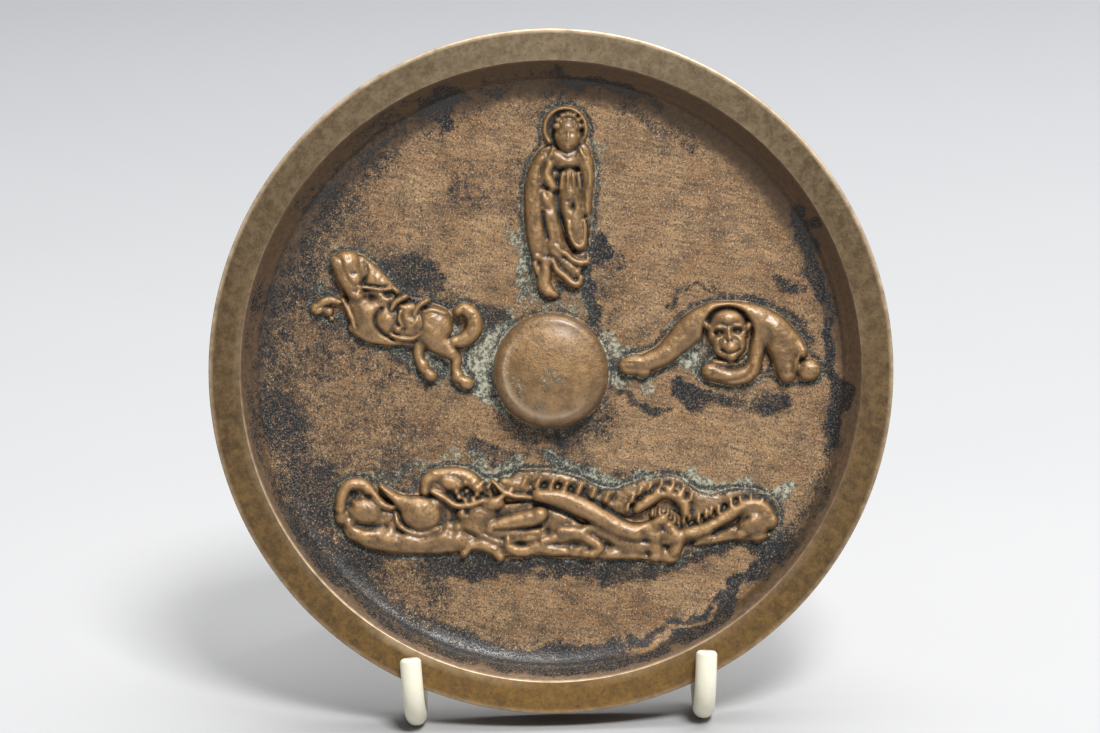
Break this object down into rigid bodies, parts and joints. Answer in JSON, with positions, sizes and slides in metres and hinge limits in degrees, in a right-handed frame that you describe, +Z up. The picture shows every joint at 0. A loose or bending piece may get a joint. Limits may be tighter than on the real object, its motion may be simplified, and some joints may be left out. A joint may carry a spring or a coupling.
{
  "type": "cast mirror with relief figures on a wire plate stand",
  "caption": "Round cast brass mirror, its raised-rim back showing a centre boss and relief figures, leaning upright on a coated-wire plate stand with two prongs.",
  "frame": {"origin": "on the surface that the stand stands on, under the middle of the whole object's box", "axes": "+Z up, -Y towards the figured face, which leans back 15 degrees, +X to the right of someone who looks at that face"},
  "size_m": [0.12, 0.0742, 0.1188],
  "materials": {
    "aged_brass": "aged brown casting skin with worn golden-brown highs, blue-black patina and pale green verdigris in the hollows",
    "cream_coating": "cream vinyl coat on steel wire, satin, a little speckled"
  },
  "bodies": {
    "root": {"mirror": "aged_brass", "wire_stand": "cream_coating"}
  },
  "joints": []
}
